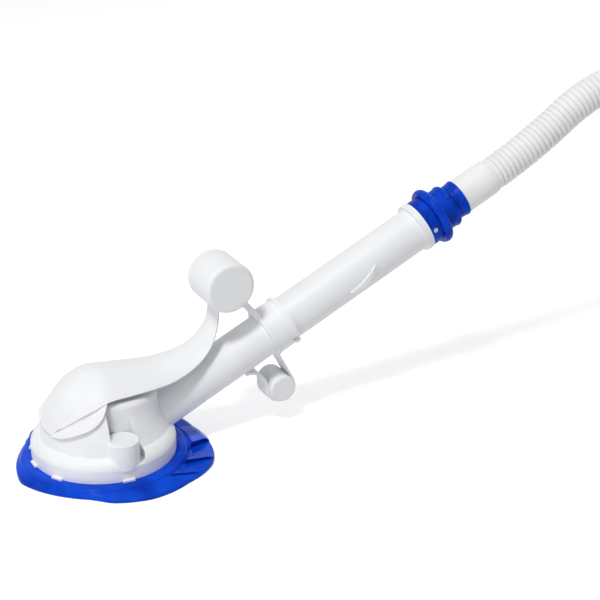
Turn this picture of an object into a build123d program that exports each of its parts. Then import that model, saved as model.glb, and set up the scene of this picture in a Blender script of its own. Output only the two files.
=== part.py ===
"""Suction pool cleaner: a skirted head with a swinging valve, a sloping tube, a swivel and one hose length.

Frame: millimetres, +Z up, the pool floor at Z = 0. The head points to -X, the tube rises towards +X and
the plane Y = 0 is the plane of symmetry. The origin lies on the floor under the middle of the cleaner,
measured without the hose.
"""
from build123d import *
from math import atan, cos, degrees, radians, sin, tan
import os

# Skirt, the soft disc on the pool floor
SKIRT_OFFSET = 13.0  # the outer edge is set back from the drum's axis
SKIRT_CORNER_R = 116.0
SKIRT_REAR_R = 110.0  # middle of the edge between two corners: rear, sides and front
SKIRT_SIDE_R = 112.5
SKIRT_FRONT_R = 102.5
SKIRT_CORNERS = (-48.0, 48.0, 105.0, 180.0, 255.0)  # degrees about the skirt's own centre
SKIRT_WALL = 2.6
SKIRT_RIM_H = 3.0
SKIRT_RING_R = 89.0  # raised ring round the drum's foot
SKIRT_RING_H = 3.0  # the ring stands half of this above the sloping body
SKIRT_TOP = 11.0
PLEAT_ANGLES = (-64.5, -45.0, -25.5, -6.0, 13.5, 33.0)  # where each fold starts to rise
PLEAT_DEPTH = 5.5
PLEAT_HALF_ANGLE = 6.5

# Base drum
DRUM_R = 83.0
DRUM_WALL = 4.0
DRUM_TOP = 37.0
DECK_T = 4.0
SHOULDER_START = 23.0  # height where the wall turns into the rounded shoulder
SHOULDER_W = 9.0
UPSTAND_TOP = 84.0  # wall on the deck that closes the front under the cover
UPSTAND_END_X = -16.0
MOUTH_WALL_R = 66.0  # inner wall round the suction mouth
MOUTH_WALL_T = 4.0
LUG_ANGLES = (92.0, 149.0, 180.0, 211.0, 268.0)
LUG_LENGTH = 14.0
LUG_HEIGHT = 2.2
LUG_REACH = 3.0
TOWER_X = -1.7
TOWER_SET_IN = 16.5  # a boss's axis inside the drum's wall
TOWER_Y = DRUM_R - TOWER_SET_IN
TOWER_R = 18.5
TOWER_FOOT = 24.0
TOWER_TOP = 54.8
TOWER_EDGE = 1.5
NOTCH_W = 5.5  # notch between a boss and the deck behind it
NOTCH_FLOOR = 27.0
NOTCH_WALL = 3.0

# Foot pad under the base
PAD_INNER_R = 58.0
PAD_OUTER_R = 78.0
PAD_T = 5.0
PAD_SLOTS = 10
PAD_SLOT_W = 6.0
PAD_SLOT_DEPTH = 2.0

# Valve housing
CHAMBER_X = 14.0
CHAMBER_R = 50.0
CHAMBER_WALL = 4.5
CHAMBER_TOP = 88.5
CHAMBER_BOTTOM = 15.0
CHAMBER_FLOOR_T = 4.0
CHAMBER_TOP_T = 5.0
CHAMBER_EDGE = 7.0
FLARE_R = 62.5  # concave foot of the chamber on the drum's deck
FLARE_MID_R = 55.0
FLARE_MID_Z = 52.0
FLARE_TOP = 72.0
THROAT_X = 4.0
THROAT_R = 26.0
DECK_SCREW_TURNS = (62.0, 150.0, 210.0, 298.0)
DECK_SCREW_PITCH_R = 54.0
DECK_SCREW_R = 2.0
DECK_SCREW_GRIP = 5.0
DECK_SCREW_HEAD_R = 3.4
DECK_SCREW_HEAD_T = 2.4

# Swinging valve
PIVOT_Z = 74.0
SHAFT_R = 3.0
BUSH_R = 6.0
BUSH_FLANGE_R = 8.5
BUSH_FLANGE_T = 2.0
FLAP_HUB_R = 6.0
FLAP_LENGTH = 40.0
FLAP_TOE = 13.0  # half thickness at the lower end
FLAP_HALF_W = 24.0
FLAP_SWING = 16.0
SEAT_GAP = 0.4
SEAT_T = 8.0
SEAT_FROM = 18.0
SEAT_LENGTH = 14.0

# Tube: places are lengths along its axis from the collar's end
TUBE_SLOPE = 25.5
COLLAR_X = 234.0  # the collar's end, measured from the drum's axis
COLLAR_Z = 126.35
COLLAR_R = 30.0
COLLAR_DEPTH = 27.0
COLLAR_BEAD_R = 31.6
COLLAR_BEAD_T = 4.4
COLLAR_NOTCH_W = 6.0
COLLAR_NOTCH_DEPTH = 9.0
COLLAR_NOTCH_TURN = -62.0
NECK_R = 26.0
NECK_BORE_R = 23.0
NECK_START = -195.0
BORE_START = -200.0
TUBE_R = 27.0
TUBE_WALL = 3.0
TUBE_LENGTH = 201.6  # from the collar's end to the flange's face
TUBE_FLANGE_R = 31.0
TUBE_FLANGE_T = 8.0
SEAL_T = 2.6
SEAL_DEPTH = 1.6
SEAL_AT = -16.0
SCOOP_AT = 100.0  # crescent grip on the tube's side
SCOOP_LENGTH = 44.0
SCOOP_WIDTH = 6.0
SCOOP_HOLLOW = 3.0
SCOOP_HEIGHT = 2.2
SCOOP_LEAN = 16.0
SCOOP_TURN = 93.0
INNER_TUBE_R = 19.5
INNER_TUBE_WALL = 2.0
INNER_TUBE_START = -60.0
INNER_RIM_T = 5.0

# Swivel
SWIVEL_BASE_R = 30.0
SWIVEL_BASE_LENGTH = 14.4
SWIVEL_LIP_R = 21.0
SWIVEL_LIP_LENGTH = 6.0
SPIGOT_R = 24.0
SPIGOT_BORE_R = 17.0
PIN_COUNT = 3
PIN_R = 1.4
PIN_HEAD_R = 2.9
PIN_HEAD_T = 1.6
PIN_AT = 6.0  # from the flange's face
PIN_TURN = -90.0
GROOVE_DEPTH = 2.0
GROOVE_W = 4.0
SWIVEL_SEAL_AT = 10.6
SWIVEL_SEAL_T = 2.2
BIG_RIB_R = 36.5
BIG_RIB_T = 11.0
VALLEY_R = 26.5
SMALL_RIB_R = 27.5
SMALL_RIB_T = 6.0
SMALL_RIB_AT = 42.0  # from the flange's face
WAIST_R = 21.6
WAIST_AT = 48.5
SLEEVE_END_R = 23.8
SLEEVE_LENGTH = 61.0  # from the flange's face to the sleeve's end

# Hose length with a cuff at each end
CUFF_R = 22.4
CUFF_BORE_R = 19.0
CUFF_SHOWN = 50.0
CUFF_LENGTH = 60.0
CUFF_NOSE = 6.0
HOSE_BORE_R = 16.5
HOSE_ROOT_R = 18.8
HOSE_CREST_R = 21.1
HOSE_LEAD = 60.0  # straight stretch behind the cuff
RIB_PITCH = 6.8
RIB_CREST = 3.2
RIB_FLANK = 0.9
HOSE_ROUTE = (  # X and Z in the plane Y = 0, from the second bend to the far cuff
    (472.0, 352.5),
    (580.0, 369.0),
    (684.0, 335.0),
    (770.0, 264.0),
    (824.0, 168.0),
    (898.0, 84.0),
    (990.0, 37.0),
    (1069.0, CUFF_R),
    (1131.0, CUFF_R),
)

# Head cover, one sheet from the dome into the float's arm
COVER_T = 3.2
DOME_PROFILE = (  # radius and height
    (72.0, DRUM_TOP),
    (70.7, 50.0),
    (65.8, 65.0),
    (54.8, 86.5),
    (46.3, 96.8),
    (36.0, 105.2),
    (25.0, 110.8),
    (12.0, 114.6),
    (0.0, 115.8),
)
LIP_CURVE = ((-67.0, 52.0), (-55.4, 60.0), (-36.8, 69.5), (-25.6, 76.5), (-17.0, 86.5), (-12.0, 95.0))
ARM_STATIONS = (  # X from the drum's axis, crest Z, half width, drop at the edge, slope
    (-14.0, 114.8, 45.0, 19.8, -5.0),
    (-2.0, 113.9, 45.8, 18.5, -5.0),
    (8.0, 113.0, 46.5, 17.6, -5.5),
    (20.0, 112.0, 47.0, 16.5, -6.0),
    (48.0, 108.8, 43.5, 13.3, -2.0),
    (70.0, 108.0, 39.0, 11.7, 3.0),
    (93.0, 111.0, 32.5, 9.7, 15.0),
    (112.0, 118.2, 26.0, 8.0, 32.0),
    (125.0, 129.2, 21.0, 6.5, 48.0),
    (133.5, 144.0, 15.8, 4.8, 66.0),
    (137.0, 162.0, 14.0, 4.0, 80.0),
    (138.0, 170.0, 14.0, 4.0, 84.0),
)
GILL_STATIONS = (  # crease and lip of the gill, from its front tip to the arm
    ((-66.7, -19.0, 54.5), (-68.6, -20.0, 52.4)),
    ((-57.0, -30.4, 65.8), (-60.5, -40.5, 57.5)),
    ((-45.3, -39.1, 75.5), (-46.0, -52.7, 64.5)),
    ((-32.4, -45.0, 83.6), (-31.5, -58.7, 72.0)),
    ((-22.6, -47.2, 88.3), (-20.2, -58.0, 81.8)),
    ((-14.2, -47.4, 92.0), (-13.5, -52.8, 92.5)),
)
GILL_T = 2.6
LIP_GAP = 1.0  # between the lip and the wall below it

# Float, weight and the yoke that ties them to the neck
FLOAT_X = 151.7
FLOAT_Z = 191.0
FLOAT_R = 30.0
FLOAT_HALF = 29.0
FLOAT_WALL = 2.5
FLOAT_EDGE = 5.0
FLOAT_CAP_T = 4.0
WEIGHT_X = 221.4
WEIGHT_Z = 45.5
WEIGHT_R = 16.5
WEIGHT_HALF = 21.0
WEIGHT_WALL = 2.0
WEIGHT_EDGE = 3.0
WEIGHT_CAP_T = 3.5
YOKE_AT = -29.6  # along the tube, just below the collar
YOKE_W = 4.6
YOKE_T = 5.0
YOKE_HALF_W = 12.0
YOKE_BLADE_T = 3.0
YOKE_LINK_T = 7.0  # the blade up to the float
YOKE_LEG_AT = -76.0  # where the front leg leaves the neck
YOKE_LEG_BULGE = 8.0
CRADLE_FRONT = 170.0  # ends of the cradle round the weight, in degrees
CRADLE_REAR = 15.0

# Clearances
SNUG = 0.05  # moving fits, on the radius
SEATED = 0.1  # fixed fits, on the radius
LOOSE = 0.3  # neighbours that do not bear on each other

# Sizes worked out from the values above
SLOPE = radians(TUBE_SLOPE)
FLANGE_FACE = TUBE_LENGTH
BASE_END = FLANGE_FACE + SWIVEL_BASE_LENGTH
SLEEVE_END = FLANGE_FACE + SLEEVE_LENGTH
CUFF_END = SLEEVE_END + CUFF_SHOWN
REAR_REACH = COLLAR_X + SLEEVE_END * cos(SLOPE) + SLEEVE_END_R * sin(SLOPE)
FRONT_REACH = SKIRT_CORNER_R - SKIRT_OFFSET
HEAD_X = (FRONT_REACH - REAR_REACH) / 2  # the drum's axis in the part's frame
PAD_TOP = SKIRT_TOP - SKIRT_RING_H / 2 - SKIRT_WALL
FLAP_ANGLE = degrees(atan((FLAP_TOE - FLAP_HUB_R) / FLAP_LENGTH))

HEAD = Pos(HEAD_X, 0, 0)
TUBE = HEAD * Plane(
    origin=(COLLAR_X, 0, COLLAR_Z),
    x_dir=(sin(SLOPE), 0, -cos(SLOPE)),
    z_dir=(cos(SLOPE), 0, sin(SLOPE)),
).location
BASE = (Align.CENTER, Align.CENTER, Align.MIN)


def turned(*points):
    """Solid of revolution about Z from an outline of (radius, height) points."""
    return revolve(make_face(Polyline(*[(r, 0, z) for r, z in points], close=True)), Axis.Z)


def ring(inner, outer, low, high):
    """Plain ring about Z."""
    return turned((inner, low), (outer, low), (outer, high), (inner, high))


def post(radius, low, high, x=0.0, y=0.0):
    """Upright cylinder."""
    return Pos(x, y, low) * Cylinder(radius, high - low, align=BASE)


def cross_rod(radius, half, x, z):
    """Cylinder along Y, centred on the plane of symmetry."""
    return Pos(x, 0, z) * Rot(90, 0, 0) * Cylinder(radius, 2 * half)


def both_sides(shape):
    """A shape and its mirror image across the plane Y = 0."""
    return [shape, mirror(shape, Plane.XZ)]


def slab(outline, half):
    """Outline of (X, Z) points carried across the plane Y = 0."""
    face = make_face(Polyline(*[(x, 0, z) for x, z in outline], close=True))
    return extrude(face, amount=half, dir=(0, 1, 0), both=True)


def polar(radius, angle, x=0.0):
    """Point at an angle about (x, 0)."""
    return (x + radius * cos(radians(angle)), radius * sin(radians(angle)))


def skirt_outline(corner, middles, z, x):
    """Rounded outline: an arc from each corner to the next, through the middle of its span."""
    edges = []
    for k, start in enumerate(SKIRT_CORNERS):
        end = SKIRT_CORNERS[(k + 1) % len(SKIRT_CORNERS)]
        end += 360.0 if end <= start else 0.0
        points = [
            polar(corner, start, x),
            polar(middles[k], (start + end) / 2, x),
            polar(corner, end, x),
        ]
        edges.append(ThreePointArc(*[(px, py, z) for px, py in points]))
    return make_face(edges)


def skirt_cone(drop, inset):
    """Sloping body of the skirt, from the raised ring out to the edge."""
    ring_r = SKIRT_RING_R - inset
    middles = (SKIRT_REAR_R, SKIRT_SIDE_R, SKIRT_FRONT_R, SKIRT_FRONT_R, SKIRT_SIDE_R)
    high = skirt_outline(ring_r, [ring_r] * len(middles), SKIRT_TOP - SKIRT_RING_H / 2 - drop, 0)
    low = skirt_outline(
        SKIRT_CORNER_R - inset,
        [middle - inset for middle in middles],
        SKIRT_RIM_H - drop,
        SKIRT_OFFSET,
    )
    return loft([low, high], ruled=True) + extrude(low, amount=-SKIRT_RIM_H)


def make_skirt_disc():
    """Soft disc: raised inner ring, sloping body, turned-down edge and folded pleats at the rear."""
    inner_r = MOUTH_WALL_R + MOUTH_WALL_T + LOOSE
    body = skirt_cone(0, 0) - skirt_cone(SKIRT_WALL, SKIRT_WALL)
    body += ring(inner_r, SKIRT_RING_R, PAD_TOP, SKIRT_TOP)
    body -= post(inner_r, 0, SKIRT_TOP)
    for angle in PLEAT_ANGLES:
        fold = make_face(
            Polyline(
                (SKIRT_RING_R, 0, SKIRT_TOP),
                (SKIRT_RING_R, 0, SKIRT_TOP - SKIRT_RING_H / 2),
                (SKIRT_REAR_R + SKIRT_OFFSET, 0, SKIRT_RIM_H),
                (SKIRT_REAR_R + SKIRT_OFFSET, 0, SKIRT_RIM_H + PLEAT_DEPTH),
                close=True,
            )
        )
        ridge = Rot(0, 0, angle) * revolve(fold, Axis.Z, PLEAT_HALF_ANGLE)
        body += ridge & skirt_cone(-PLEAT_DEPTH, 0)
    return HEAD * body


def make_base_drum():
    """White drum: outer wall, deck, wall round the mouth, clip lugs and two side bosses."""
    shoulder_r = DRUM_R - SHOULDER_W
    bend = 2 ** -0.5
    outline = Polyline(
        (0, 0, DRUM_TOP),
        (0, 0, DRUM_TOP - DECK_T),
        (shoulder_r - DRUM_WALL, 0, DRUM_TOP - DECK_T),
        (DRUM_R - DRUM_WALL, 0, SHOULDER_START),
        (DRUM_R - DRUM_WALL, 0, SKIRT_TOP),
        (DRUM_R, 0, SKIRT_TOP),
        (DRUM_R, 0, SHOULDER_START),
    )
    outline += ThreePointArc(
        (DRUM_R, 0, SHOULDER_START),
        (shoulder_r + SHOULDER_W * bend, 0, SHOULDER_START + (DRUM_TOP - SHOULDER_START) * bend),
        (shoulder_r, 0, DRUM_TOP),
    )
    outline += Line((shoulder_r, 0, DRUM_TOP), (0, 0, DRUM_TOP))
    outer = revolve(make_face(outline), Axis.Z)
    filled = outer + post(DRUM_R - DRUM_WALL, SKIRT_TOP, SHOULDER_START) + turned(
        (0, SHOULDER_START),
        (DRUM_R - DRUM_WALL, SHOULDER_START),
        (shoulder_r - DRUM_WALL, DRUM_TOP - DECK_T),
        (0, DRUM_TOP - DECK_T),
    )
    drum = outer + ring(MOUTH_WALL_R, MOUTH_WALL_R + MOUTH_WALL_T, PAD_TOP, DRUM_TOP)
    for angle in LUG_ANGLES:
        lug = Pos(DRUM_R, 0, SKIRT_TOP) * Box(2 * LUG_REACH, LUG_LENGTH, LUG_HEIGHT, align=BASE)
        drum += Rot(0, 0, angle) * lug
    outside = COVER_T + LOOSE
    inside = dome_solid(outside + DRUM_WALL)
    upstand = dome_solid(0) - inside - Pos(0, 0, -LIP_GAP) * above_lip()
    upstand += dome_solid(outside) - inside
    drum += upstand & slab(
        ((-DRUM_R, 0), (UPSTAND_END_X, 0), (UPSTAND_END_X, UPSTAND_TOP), (-DRUM_R, UPSTAND_TOP)), DRUM_R
    )
    tower = post(TOWER_R, TOWER_FOOT, TOWER_TOP, TOWER_X, -TOWER_Y)
    tower = fillet(tower.edges().group_by(Axis.Z)[-1], TOWER_EDGE)
    tower -= post(DRUM_R - DRUM_WALL, 0, DRUM_TOP - DECK_T)
    notch = ring(TOWER_R, TOWER_R + NOTCH_W, NOTCH_FLOOR, TOWER_TOP)
    notch &= post(2 * TOWER_R, NOTCH_FLOOR, TOWER_TOP, 2 * TOWER_R)
    notch = Pos(TOWER_X, -TOWER_Y, 0) * notch
    lining_r = TOWER_R + NOTCH_W + NOTCH_WALL
    lining = post(lining_r, TOWER_FOOT, DRUM_TOP, TOWER_X, -TOWER_Y) & filled
    drum += both_sides(lining)
    drum -= both_sides(notch)
    drum += both_sides(tower)
    drum -= post(CHAMBER_R + LOOSE, 0, UPSTAND_TOP, CHAMBER_X)
    for place in deck_screw_places():
        drum -= place * post(DECK_SCREW_R + SEATED, 0, DRUM_TOP)
    drum = HEAD * drum
    return drum - TUBE * post(NECK_R + LOOSE, NECK_START - COLLAR_DEPTH, 0)


def make_foot_pad():
    """Rubber ring under the base with radial slots in its tread."""
    low = PAD_TOP - PAD_T
    pad = ring(PAD_INNER_R, PAD_OUTER_R, low, PAD_TOP)
    slot = Pos((PAD_INNER_R + PAD_OUTER_R) / 2, 0, low) * Box(
        PAD_OUTER_R - PAD_INNER_R, PAD_SLOT_W, PAD_SLOT_DEPTH, align=BASE
    )
    for k in range(PAD_SLOTS):
        pad -= Rot(0, 0, 360.0 * (k + 0.5) / PAD_SLOTS) * slot
    return HEAD * pad


def flared_foot():
    """Concave foot that widens from the chamber's wall to the drum's deck."""
    foot = Polyline((CHAMBER_R, 0, FLARE_TOP), (0, 0, FLARE_TOP), (0, 0, DRUM_TOP), (FLARE_R, 0, DRUM_TOP))
    flare = ThreePointArc(
        (FLARE_R, 0, DRUM_TOP), (FLARE_MID_R, 0, FLARE_MID_Z), (CHAMBER_R, 0, FLARE_TOP)
    )
    return revolve(make_face(foot + flare), Axis.Z)


def make_valve_housing():
    """Chamber, neck and collar in one moulding, open below, with a flared foot on the drum's deck."""
    chamber = post(CHAMBER_R, CHAMBER_BOTTOM, CHAMBER_TOP, CHAMBER_X)
    top_edge = chamber.edges().filter_by(GeomType.CIRCLE).group_by(Axis.Z)[-1]
    chamber = fillet(top_edge, CHAMBER_EDGE)
    chamber += Pos(CHAMBER_X, 0, 0) * flared_foot()
    for side in (-1, 1):
        chamber -= post(TOWER_R + NOTCH_W, DRUM_TOP, FLARE_TOP, TOWER_X, side * TOWER_Y) - post(
            CHAMBER_R, DRUM_TOP, FLARE_TOP, CHAMBER_X
        )
    body = HEAD * chamber + TUBE * post(NECK_R, NECK_START, 0)
    body += TUBE * post(COLLAR_R, -COLLAR_DEPTH, 0)
    body += TUBE * post(COLLAR_BEAD_R, -COLLAR_BEAD_T, 0)
    inside_r = CHAMBER_R - CHAMBER_WALL
    body -= HEAD * post(inside_r, 0, CHAMBER_TOP - CHAMBER_TOP_T, CHAMBER_X)
    body -= TUBE * post(NECK_BORE_R, BORE_START, 0)
    body -= TUBE * post(TUBE_R + SEATED, SEATED - COLLAR_DEPTH, 0)
    body -= HEAD * cross_rod(BUSH_R, inside_r + CHAMBER_WALL / 2, CHAMBER_X, PIVOT_Z)
    notch = Pos(COLLAR_R, 0, -COLLAR_NOTCH_DEPTH) * Box(
        2 * (COLLAR_R - TUBE_R), COLLAR_NOTCH_W, COLLAR_NOTCH_DEPTH, align=BASE
    )
    for turn in (COLLAR_NOTCH_TURN, COLLAR_NOTCH_TURN + 180.0):
        body -= TUBE * Rot(0, 0, turn) * notch
    for place in deck_screw_places():
        body -= HEAD * place * post(DECK_SCREW_R, DRUM_TOP, DRUM_TOP + DECK_SCREW_GRIP)
    return body


def make_throat_plate():
    """Floor of the chamber with the throat that the water is drawn through."""
    plate_r = CHAMBER_R - CHAMBER_WALL - SEATED
    top = CHAMBER_BOTTOM + CHAMBER_FLOOR_T
    plate = post(plate_r, CHAMBER_BOTTOM, top, CHAMBER_X)
    return HEAD * (plate - post(THROAT_R, CHAMBER_BOTTOM, top, THROAT_X))


def deck_screw_places():
    """Where the screws pull the housing's foot down on the deck."""
    places = [polar(DECK_SCREW_PITCH_R, turn, CHAMBER_X) for turn in DECK_SCREW_TURNS]
    return [Pos(x, y, 0) for x, y in places]


def make_deck_screws():
    """Screws up through the deck, their round heads below it."""
    under = DRUM_TOP - DECK_T
    screw = post(DECK_SCREW_R, under, DRUM_TOP + DECK_SCREW_GRIP)
    screw += post(DECK_SCREW_HEAD_R, under - DECK_SCREW_HEAD_T, under)
    return Compound(children=[HEAD * place * screw for place in deck_screw_places()])


def make_flapper():
    """Wedge that hangs from its hub and swings between the seats."""
    tilt = radians(FLAP_ANGLE)
    touch = (FLAP_HUB_R * cos(tilt), FLAP_HUB_R * sin(tilt))
    toe = touch[0] + (FLAP_LENGTH + touch[1]) * tan(tilt)
    right = ((touch[0], touch[1]), (toe, -FLAP_LENGTH))
    left = ((-toe, -FLAP_LENGTH), (-touch[0], touch[1]))
    body = slab(right + left, FLAP_HALF_W) + cross_rod(FLAP_HUB_R, FLAP_HALF_W, 0, 0)
    body -= cross_rod(SHAFT_R, FLAP_HALF_W, 0, 0)
    return HEAD * Pos(CHAMBER_X, 0, PIVOT_Z) * body


def make_flapper_shaft():
    """Cross shaft that the flapper is fixed on."""
    half = CHAMBER_R - CHAMBER_WALL / 2 - LOOSE
    return HEAD * cross_rod(SHAFT_R, half, CHAMBER_X, PIVOT_Z)


def make_shaft_bushes():
    """Flanged bushes in the chamber's side walls."""
    inside = CHAMBER_R - CHAMBER_WALL
    flat = (inside**2 - BUSH_FLANGE_R**2) ** 0.5  # where the flange meets the round wall
    bush = ring(SHAFT_R + SNUG, BUSH_R, flat, inside + CHAMBER_WALL / 2)
    bush += ring(SHAFT_R + SNUG, BUSH_FLANGE_R, flat - BUSH_FLANGE_T, flat)
    placed = HEAD * Pos(CHAMBER_X, 0, PIVOT_Z) * Rot(90, 0, 0) * bush
    return Compound(children=both_sides(placed))


def make_seat(side):
    """Rubber bar that the flapper closes against, held between the chamber's side walls."""
    low = -SEAT_FROM - SEAT_LENGTH
    inner = FLAP_HUB_R + SEAT_GAP
    outer = inner + SEAT_T
    bar = slab(((inner, low), (outer, low), (outer, -SEAT_FROM), (inner, -SEAT_FROM)), CHAMBER_R)
    if side < 0:
        bar = mirror(bar, Plane.YZ)
    bar = Pos(CHAMBER_X, 0, PIVOT_Z) * Rot(0, -side * (FLAP_SWING + FLAP_ANGLE), 0) * bar
    return HEAD * (bar & post(CHAMBER_R - CHAMBER_WALL, 0, CHAMBER_TOP, CHAMBER_X))


def make_upper_tube():
    """Outer tube with an end flange, a seal groove and a pair of thumb scoops."""
    start = 2 * SEATED - COLLAR_DEPTH
    tube = turned(
        (TUBE_R - TUBE_WALL, start),
        (TUBE_R, start),
        (TUBE_R, FLANGE_FACE - TUBE_FLANGE_T),
        (TUBE_FLANGE_R, FLANGE_FACE - TUBE_FLANGE_T),
        (TUBE_FLANGE_R, FLANGE_FACE),
        (TUBE_R - TUBE_WALL, FLANGE_FACE),
    )
    tube -= ring(TUBE_R - SEAL_DEPTH, TUBE_R, SEAL_AT, SEAL_AT + SEAL_T)
    half = SCOOP_LENGTH / 2
    crescent = make_face(
        ThreePointArc((-half, 0), (0, -SCOOP_HOLLOW), (half, 0))
        + ThreePointArc((half, 0), (0, -SCOOP_HOLLOW - SCOOP_WIDTH), (-half, 0))
    )
    floor_r = TUBE_R - TUBE_WALL / 2
    pad = extrude(crescent, amount=TUBE_R + SCOOP_HEIGHT - floor_r)
    for side in (-1, 1):
        face = Plane(origin=(floor_r, 0, SCOOP_AT), x_dir=(0, 0, 1), z_dir=(1, 0, 0)).location
        lean = Rot(0, 0, -side * SCOOP_LEAN)
        tube += Rot(0, 0, side * SCOOP_TURN) * face * lean * (pad if side < 0 else mirror(pad, Plane.XZ))
    return TUBE * tube


def make_collar_seal():
    """Rubber ring in the upper tube's groove."""
    return TUBE * ring(TUBE_R - SEAL_DEPTH, TUBE_R + SEATED, SEAL_AT, SEAL_AT + SEAL_T)


def make_inner_tube():
    """Inner tube with a rim that centres it in the upper tube."""
    end = FLANGE_FACE - SWIVEL_LIP_LENGTH
    bore = INNER_TUBE_R - INNER_TUBE_WALL
    rim_r = TUBE_R - TUBE_WALL - SEATED
    return TUBE * turned(
        (bore, INNER_TUBE_START),
        (INNER_TUBE_R, INNER_TUBE_START),
        (INNER_TUBE_R, end - INNER_RIM_T),
        (rim_r, end - INNER_RIM_T),
        (rim_r, end),
        (bore, end),
    )


def make_swivel_base():
    """Fixed half of the swivel: a collar on the tube's flange with a lip in the tube's bore."""
    base = turned(
        (SWIVEL_LIP_R, FLANGE_FACE - SWIVEL_LIP_LENGTH),
        (TUBE_R - TUBE_WALL - SEATED, FLANGE_FACE - SWIVEL_LIP_LENGTH),
        (TUBE_R - TUBE_WALL - SEATED, FLANGE_FACE),
        (SWIVEL_BASE_R, FLANGE_FACE),
        (SWIVEL_BASE_R, BASE_END),
        (SPIGOT_R + SNUG, BASE_END),
        (SPIGOT_R + SNUG, FLANGE_FACE),
        (SWIVEL_LIP_R, FLANGE_FACE),
    )
    for place in pin_places():
        base -= place * pin_shape()
    return TUBE * base


def pin_places():
    """Turns of the retaining pins round the swivel base."""
    return [Rot(0, 0, PIN_TURN + 360.0 * k / PIN_COUNT) for k in range(PIN_COUNT)]


def pin_shape():
    """Pin with a round head; its tip runs in the sleeve's groove."""
    tip = SPIGOT_R - GROOVE_DEPTH + LOOSE
    shank = Cylinder(PIN_R, SWIVEL_BASE_R - tip, align=BASE)
    head = Pos(0, 0, SWIVEL_BASE_R - tip - PIN_HEAD_T) * Cylinder(PIN_HEAD_R, PIN_HEAD_T, align=BASE)
    return Pos(tip, 0, FLANGE_FACE + PIN_AT) * Rot(0, 90, 0) * (shank + head)


def make_swivel_pins():
    """Metal pins that hold the sleeve in the base."""
    return Compound(children=[TUBE * place * pin_shape() for place in pin_places()])


def make_swivel_sleeve():
    """Turning half of the swivel: spigot, bellows ribs and the socket for the hose cuff."""
    start = FLANGE_FACE + 2 * LOOSE
    rib_low = BASE_END + 2 * LOOSE
    rib_high = rib_low + BIG_RIB_T
    crown = BIG_RIB_T / 4
    small = FLANGE_FACE + SMALL_RIB_AT
    waist = FLANGE_FACE + WAIST_AT
    outline = Polyline(
        (SPIGOT_BORE_R, 0, start),
        (SPIGOT_R, 0, start),
        (SPIGOT_R, 0, rib_low),
        (BIG_RIB_R - crown, 0, rib_low),
    )
    outline += ThreePointArc(
        (BIG_RIB_R - crown, 0, rib_low),
        (BIG_RIB_R, 0, (rib_low + rib_high) / 2),
        (BIG_RIB_R - crown, 0, rib_high),
    )
    outline += Polyline(
        (BIG_RIB_R - crown, 0, rib_high),
        (VALLEY_R, 0, rib_high + crown),
        (VALLEY_R, 0, small - SMALL_RIB_T / 2),
    )
    outline += ThreePointArc(
        (VALLEY_R, 0, small - SMALL_RIB_T / 2),
        (SMALL_RIB_R, 0, small),
        (VALLEY_R, 0, small + SMALL_RIB_T / 2),
    )
    outline += Polyline(
        (VALLEY_R, 0, small + SMALL_RIB_T / 2),
        (WAIST_R, 0, waist),
        (SLEEVE_END_R, 0, SLEEVE_END),
        (CUFF_R + SEATED, 0, SLEEVE_END),
        (CUFF_R + SEATED, 0, cuff_start()),
        (SPIGOT_BORE_R, 0, cuff_start()),
        (SPIGOT_BORE_R, 0, start),
    )
    sleeve = revolve(make_face(outline), Axis.Z)
    groove = FLANGE_FACE + PIN_AT
    sleeve -= ring(SPIGOT_R - GROOVE_DEPTH, SPIGOT_R, groove - GROOVE_W / 2, groove + GROOVE_W / 2)
    seal = FLANGE_FACE + SWIVEL_SEAL_AT
    sleeve -= ring(SPIGOT_R - SEAL_DEPTH, SPIGOT_R, seal, seal + SWIVEL_SEAL_T)
    return TUBE * sleeve


def make_swivel_seal():
    """Rubber ring on the sleeve's spigot."""
    seal = FLANGE_FACE + SWIVEL_SEAL_AT
    return TUBE * ring(SPIGOT_R - SEAL_DEPTH, SPIGOT_R, seal, seal + SWIVEL_SEAL_T)


def cuff_start():
    """Place along the tube where the cuff meets the bottom of the sleeve's socket."""
    return CUFF_END - CUFF_LENGTH


def cuff_shape():
    """Smooth cuff along Z, open end at 0 and hose end at its length."""
    return turned(
        (CUFF_BORE_R, 0),
        (CUFF_R, 0),
        (CUFF_R, CUFF_LENGTH - CUFF_NOSE),
        (HOSE_CREST_R, CUFF_LENGTH),
        (HOSE_BORE_R, CUFF_LENGTH),
        (HOSE_BORE_R, CUFF_LENGTH - CUFF_NOSE),
        (CUFF_BORE_R, CUFF_LENGTH - 2 * CUFF_NOSE),
    )


def make_hose_cuff():
    """Cuff that is pushed into the swivel's sleeve."""
    return TUBE * Pos(0, 0, cuff_start()) * cuff_shape()


def make_far_cuff():
    """Cuff at the far end, lying on the floor."""
    x, z = HOSE_ROUTE[-1]
    return Pos(x + CUFF_LENGTH, 0, z) * Rot(0, -90, 0) * cuff_shape()


def hose_path():
    """Straight runs joined by arcs as large as their runs allow."""
    first = TUBE * Pos(0, 0, CUFF_END)
    second = TUBE * Pos(0, 0, CUFF_END + HOSE_LEAD)
    points = [first.position, second.position] + [Vector(x, 0, z) for x, z in HOSE_ROUTE]
    runs = [b - a for a, b in zip(points, points[1:])]
    radii = []
    for run, after in zip(runs, runs[1:]):
        half_turn = radians(run.get_angle(after)) / 2
        radii.append(0.45 * min(run.length, after.length) / tan(half_turn))
    return FilletPolyline(*points, radius=radii)


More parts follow.
